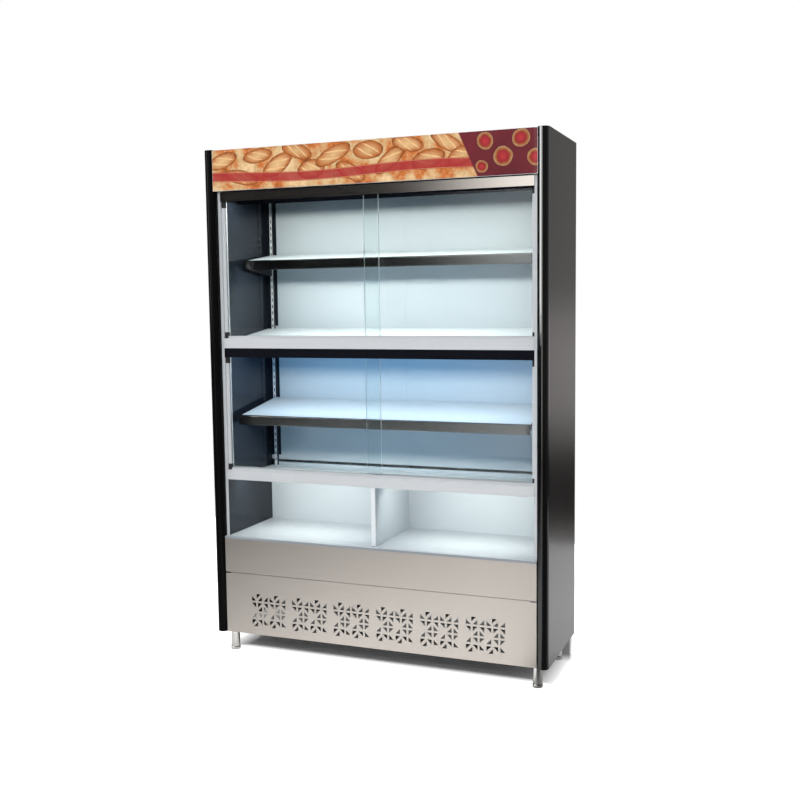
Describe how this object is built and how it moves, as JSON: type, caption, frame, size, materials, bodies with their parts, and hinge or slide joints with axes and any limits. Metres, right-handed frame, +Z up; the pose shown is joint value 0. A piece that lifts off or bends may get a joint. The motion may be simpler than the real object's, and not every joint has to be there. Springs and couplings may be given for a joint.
{
  "type": "bakery display case",
  "caption": "Upright lit display case with sliding glass doors over two shelved bays, an open lower bay, a printed header and a plinth with cut-out vents.",
  "frame": {"origin": "on the floor under the middle of the case, halfway between its front and back", "axes": "+Z up; the customer stands on the -Y side and looks along +Y; +X to the customer's right"},
  "size_m": [1.25, 0.415, 1.83],
  "materials": {
    "body_paint": "satin warm grey-brown powder coat",
    "post_black": "high gloss black coat on an extruded profile",
    "liner_paint": "glossy charcoal-blue coat",
    "white_paint": "white semi-gloss coat",
    "stainless": "fine brushed stainless sheet",
    "satin_aluminium": "satin anodised",
    "dark_profile": "dark grey anodised",
    "galvanised": "zinc-coated sheet",
    "sign_print": "printed panel, glossy",
    "clear_glass": "clear tempered glass, polished edges",
    "lamp_body": "frosted light strip",
    "black_plastic": "black moulded plastic",
    "polished": "polished stainless tube"
  },
  "bodies": {
    "carcass": {"post_left": "post_black", "side_panel_left": "body_paint", "side_liner_left": "liner_paint", "jamb_left": "satin_aluminium", "back_liner": "white_paint", "post_right": "post_black", "side_panel_right": "body_paint", "side_liner_right": "liner_paint", "jamb_right": "satin_aluminium", "back_panel": "galvanised", "service_cover": "galvanised", "top_panel": "body_paint", "sign_panel": "sign_print", "valance": "stainless", "header_floor": "dark_profile", "mid_rail": "satin_aluminium", "lower_rail": "satin_aluminium", "middle_top_track": "dark_profile", "upper_deck": "white_paint", "middle_deck": "white_paint", "bottom_deck": "white_paint", "divider": "white_paint", "upright_left": "satin_aluminium", "upright_right": "satin_aluminium", "upper_shelf_tray": "white_paint", "upper_shelf_front": "dark_profile", "upper_shelf_lamp": "lamp_body", "upper_bracket_left": "galvanised", "upper_bracket_right": "galvanised", "lower_shelf_tray": "white_paint", "lower_shelf_front": "dark_profile", "lower_shelf_lamp": "lamp_body", "lower_bracket_left": "galvanised", "lower_bracket_right": "galvanised", "header_lamp": "lamp_body", "middle_lamp": "lamp_body", "bottom_lamp": "lamp_body", "front_apron": "stainless", "vent_panel": "stainless", "base_front_beam": "galvanised", "base_rear_beam": "galvanised", "leg_front_left": "polished", "leg_front_right": "polished", "leg_rear_left": "polished", "leg_rear_right": "polished", "led_driver": "lamp_body", "power_inlet": "black_plastic"},
    "upper_left_door": {"upper_left_door_glass": "clear_glass", "upper_left_door_edge": "satin_aluminium"},
    "upper_right_door": {"upper_right_door_glass": "clear_glass", "upper_right_door_edge": "satin_aluminium"},
    "middle_left_door": {"middle_left_door_glass": "clear_glass", "middle_left_door_edge": "satin_aluminium"},
    "middle_right_door": {"middle_right_door_glass": "clear_glass", "middle_right_door_edge": "satin_aluminium"},
    "foot_front_left": {"foot_front_left": "polished"},
    "foot_front_right": {"foot_front_right": "polished"},
    "foot_rear_left": {"foot_rear_left": "polished"},
    "foot_rear_right": {"foot_rear_right": "polished"},
    "switch": {"switch_rocker": "black_plastic"}
  },
  "joints": [
    {"name": "upper_left_door_slide", "type": "slide", "parent": "carcass", "child": "upper_left_door", "axis": [1, 0, 0], "range_m": [0, 0.54]},
    {"name": "upper_right_door_slide", "type": "slide", "parent": "carcass", "child": "upper_right_door", "axis": [1, 0, 0], "range_m": [-0.54, 0]},
    {"name": "middle_left_door_slide", "type": "slide", "parent": "carcass", "child": "middle_left_door", "axis": [1, 0, 0], "range_m": [0, 0.54]},
    {"name": "middle_right_door_slide", "type": "slide", "parent": "carcass", "child": "middle_right_door", "axis": [1, 0, 0], "range_m": [-0.54, 0]},
    {"name": "foot_front_left_level", "type": "slide", "parent": "carcass", "child": "foot_front_left", "axis": [0, 0, -1], "range_m": [0, 0.015]},
    {"name": "foot_front_right_level", "type": "slide", "parent": "carcass", "child": "foot_front_right", "axis": [0, 0, -1], "range_m": [0, 0.015]},
    {"name": "foot_rear_left_level", "type": "slide", "parent": "carcass", "child": "foot_rear_left", "axis": [0, 0, -1], "range_m": [0, 0.015]},
    {"name": "foot_rear_right_level", "type": "slide", "parent": "carcass", "child": "foot_rear_right", "axis": [0, 0, -1], "range_m": [0, 0.015]},
    {"name": "switch_tilt", "type": "hinge", "parent": "carcass", "child": "switch", "pos_m": [0.413, 0.2018, 1.738], "axis": [1, 0, 0], "range_deg": [-16, 0]}
  ]
}
